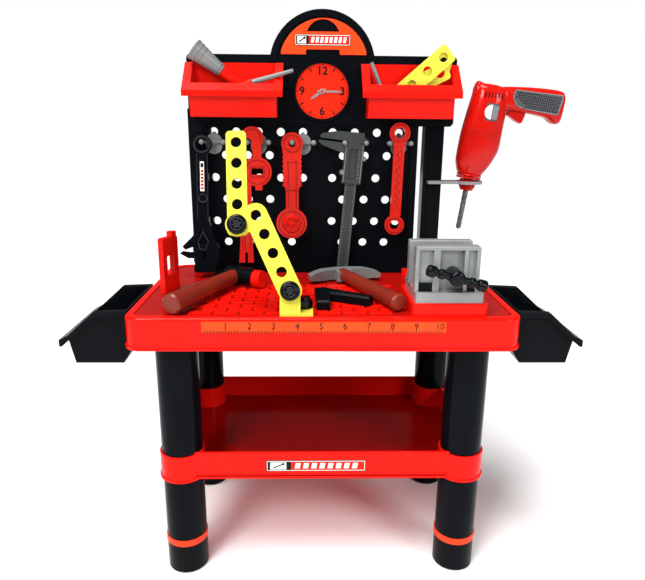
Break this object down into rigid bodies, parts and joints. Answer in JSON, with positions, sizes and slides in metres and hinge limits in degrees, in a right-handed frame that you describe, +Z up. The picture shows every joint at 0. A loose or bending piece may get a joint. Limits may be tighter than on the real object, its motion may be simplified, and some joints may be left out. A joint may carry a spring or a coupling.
{
  "type": "toy workbench",
  "caption": "Toy workbench with four legs, lower tray, pegboard back, clock, bins, a working vise, a toy drill and hung hand tools.",
  "frame": {"origin": "centre of the bounding box in plan, on the floor under the feet", "axes": "+Z up, the front of the bench faces -Y, +X to the right as seen from the front"},
  "size_m": [0.6088, 0.257, 0.6672],
  "materials": {
    "red": "semi-gloss",
    "dark_red": "semi-gloss",
    "black": "satin",
    "orange": "semi-gloss",
    "dial": "semi-gloss",
    "silver": "satin silver-grey moulded plastic",
    "yellow": "semi-gloss",
    "handle_brown": "satin",
    "grip_grey": "matt",
    "label": "printed label"
  },
  "bodies": {
    "bench": {"worktop": "red", "ruler_strip": "orange", "shelf": "red", "upper_leg_front_left": "black", "upper_leg_front_right": "black", "upper_leg_rear_left": "black", "upper_leg_rear_right": "black", "lower_leg_front_left": "black", "lower_leg_front_right": "black", "lower_leg_rear_left": "black", "lower_leg_rear_right": "black", "foot_caps": "black", "leg_bands": "orange", "back_panel": "black", "uprights": "black", "sign_plate": "orange", "labels": "label", "clock_dial": "dial", "peg_hooks": "silver", "drill_holder": "silver", "vise_base": "silver", "vise_slides": "black"},
    "hour_hand_body": {"hour_hand": "silver"},
    "minute_hand_body": {"minute_hand": "silver"},
    "top_bin_left": {"bin_top_left": "red", "bin_tool_heads": "silver", "bin_tool_grips": "red"},
    "top_bin_right": {"bin_top_right": "red", "loose_strips": "yellow", "punch": "silver"},
    "side_bin_left": {"bin_side_left": "black"},
    "side_bin_right": {"bin_side_right": "black"},
    "drill": {"drill_shell_front": "red", "drill_shell_rear": "red", "drill_pads": "grip_grey"},
    "drill_trigger_body": {"drill_trigger": "red"},
    "drill_spindle": {"drill_chuck": "red", "drill_bit": "silver"},
    "wrench": {"wrench_body": "black"},
    "wrench_jaw_body": {"wrench_jaw": "black"},
    "strip_stand": {"strip_bracket": "yellow", "fastener_lower": "black"},
    "strip_arm": {"strip_angled": "yellow", "fastener_upper": "black"},
    "strip_tip": {"strip_straight": "yellow"},
    "multi_tool_body": {"multi_tool": "red"},
    "ratchet": {"ratchet_handle": "red"},
    "ratchet_knob_body": {"ratchet_knob": "dark_red"},
    "caliper": {"caliper_beam": "silver"},
    "caliper_slide_body": {"caliper_slider": "silver"},
    "spanner": {"ring_spanner": "red"},
    "hammer": {"hammer_head": "black", "hammer_handle": "handle_brown", "hammer_cap": "red"},
    "pickaxe": {"pickaxe_head": "silver", "pickaxe_handle": "handle_brown"},
    "angle_key_body": {"angle_key": "black"},
    "tool_rest_body": {"tool_rest": "red"},
    "vise_jaw_body": {"vise_jaw": "silver"},
    "vise_screw_body": {"vise_screw": "black"}
  },
  "joints": [
    {"name": "hour_turn", "type": "hinge", "parent": "bench", "child": "hour_hand_body", "pos_m": [-0.01292, 0.0853, 0.5695], "axis": [0, 1, 0], "continuous": true},
    {"name": "minute_turn", "type": "hinge", "parent": "bench", "child": "minute_hand_body", "pos_m": [-0.01292, 0.0842, 0.5695], "axis": [0, 1, 0], "continuous": true},
    {"name": "top_bin_left_off", "type": "slide", "parent": "bench", "child": "top_bin_left", "axis": [0, -1, 0], "range_m": [0, 0.06]},
    {"name": "top_bin_right_off", "type": "slide", "parent": "bench", "child": "top_bin_right", "axis": [0, -1, 0], "range_m": [0, 0.06]},
    {"name": "side_bin_left_off", "type": "slide", "parent": "bench", "child": "side_bin_left", "axis": [0, 0, 1], "range_m": [0, 0.06]},
    {"name": "side_bin_right_off", "type": "slide", "parent": "bench", "child": "side_bin_right", "axis": [0, 0, 1], "range_m": [0, 0.06]},
    {"name": "drill_lift", "type": "slide", "parent": "bench", "child": "drill", "axis": [0.1305, 0, 0.9914], "range_m": [0, 0.09]},
    {"name": "trigger_pull", "type": "slide", "parent": "drill", "child": "drill_trigger_body", "axis": [0.1305, 0, 0.9914], "range_m": [0, 0.006], "stiffness_N_per_m": 150, "springref_m": -0.004},
    {"name": "spindle_turn", "type": "hinge", "parent": "drill", "child": "drill_spindle", "pos_m": [0.18538, 0.0904, 0.4594], "axis": [0.1305, 0, 0.9914], "continuous": true},
    {"name": "wrench_off", "type": "slide", "parent": "bench", "child": "wrench", "axis": [0, -1, 0], "range_m": [0, 0.03]},
    {"name": "wrench_jaw_slide", "type": "slide", "parent": "wrench", "child": "wrench_jaw_body", "axis": [1, 0, 0], "range_m": [-0.003, 0.005]},
    {"name": "stand_lift", "type": "slide", "parent": "bench", "child": "strip_stand", "axis": [0, 0, 1], "range_m": [0, 0.05]},
    {"name": "arm_turn", "type": "hinge", "parent": "strip_stand", "child": "strip_arm", "pos_m": [-0.04932, -0.1106, 0.3578], "axis": [0, 0.9636, -0.2672], "range_deg": [-15, 15]},
    {"name": "tip_turn", "type": "hinge", "parent": "strip_arm", "child": "strip_tip", "pos_m": [-0.10533, -0.09191, 0.42518], "axis": [0, 0.9636, -0.2672], "range_deg": [-15, 15]},
    {"name": "multi_tool_off", "type": "slide", "parent": "bench", "child": "multi_tool_body", "axis": [0, -1, 0], "range_m": [0, 0.03]},
    {"name": "ratchet_off", "type": "slide", "parent": "bench", "child": "ratchet", "axis": [0, -1, 0], "range_m": [0, 0.03]},
    {"name": "knob_turn", "type": "hinge", "parent": "ratchet", "child": "ratchet_knob_body", "pos_m": [-0.05262, 0.0754, 0.4], "axis": [0, 1, 0], "range_deg": [-45, 45]},
    {"name": "caliper_off", "type": "slide", "parent": "bench", "child": "caliper", "axis": [0, -1, 0], "range_m": [0, 0.012]},
    {"name": "caliper_slide", "type": "slide", "parent": "caliper", "child": "caliper_slide_body", "axis": [-0.0802, 0, -0.9968], "range_m": [0, 0.1]},
    {"name": "spanner_off", "type": "slide", "parent": "bench", "child": "spanner", "axis": [0, -1, 0], "range_m": [0, 0.03]},
    {"name": "hammer_lift", "type": "slide", "parent": "bench", "child": "hammer", "axis": [0, 0, 1], "range_m": [0, 0.05]},
    {"name": "pickaxe_lift", "type": "slide", "parent": "bench", "child": "pickaxe", "axis": [0, 0, 1], "range_m": [0, 0.05]},
    {"name": "angle_key_lift", "type": "slide", "parent": "bench", "child": "angle_key_body", "axis": [0, 0, 1], "range_m": [0, 0.05]},
    {"name": "tool_rest_lift", "type": "slide", "parent": "bench", "child": "tool_rest_body", "axis": [0, 0, 1], "range_m": [0, 0.05]},
    {"name": "vise_screw_turn", "type": "hinge", "parent": "bench", "child": "vise_screw_body", "pos_m": [0.12508, -0.122, 0.375], "axis": [0, 1, 0], "range_deg": [0, 1080]},
    {"name": "vise_jaw_slide", "type": "slide", "parent": "bench", "child": "vise_jaw_body", "axis": [0, -1, 0], "range_m": [0, 0.0185]}
  ],
  "couplings": [
    {"joint": "vise_jaw_slide", "follows": "vise_screw_turn", "m_per_rad": 0.00098146}
  ]
}
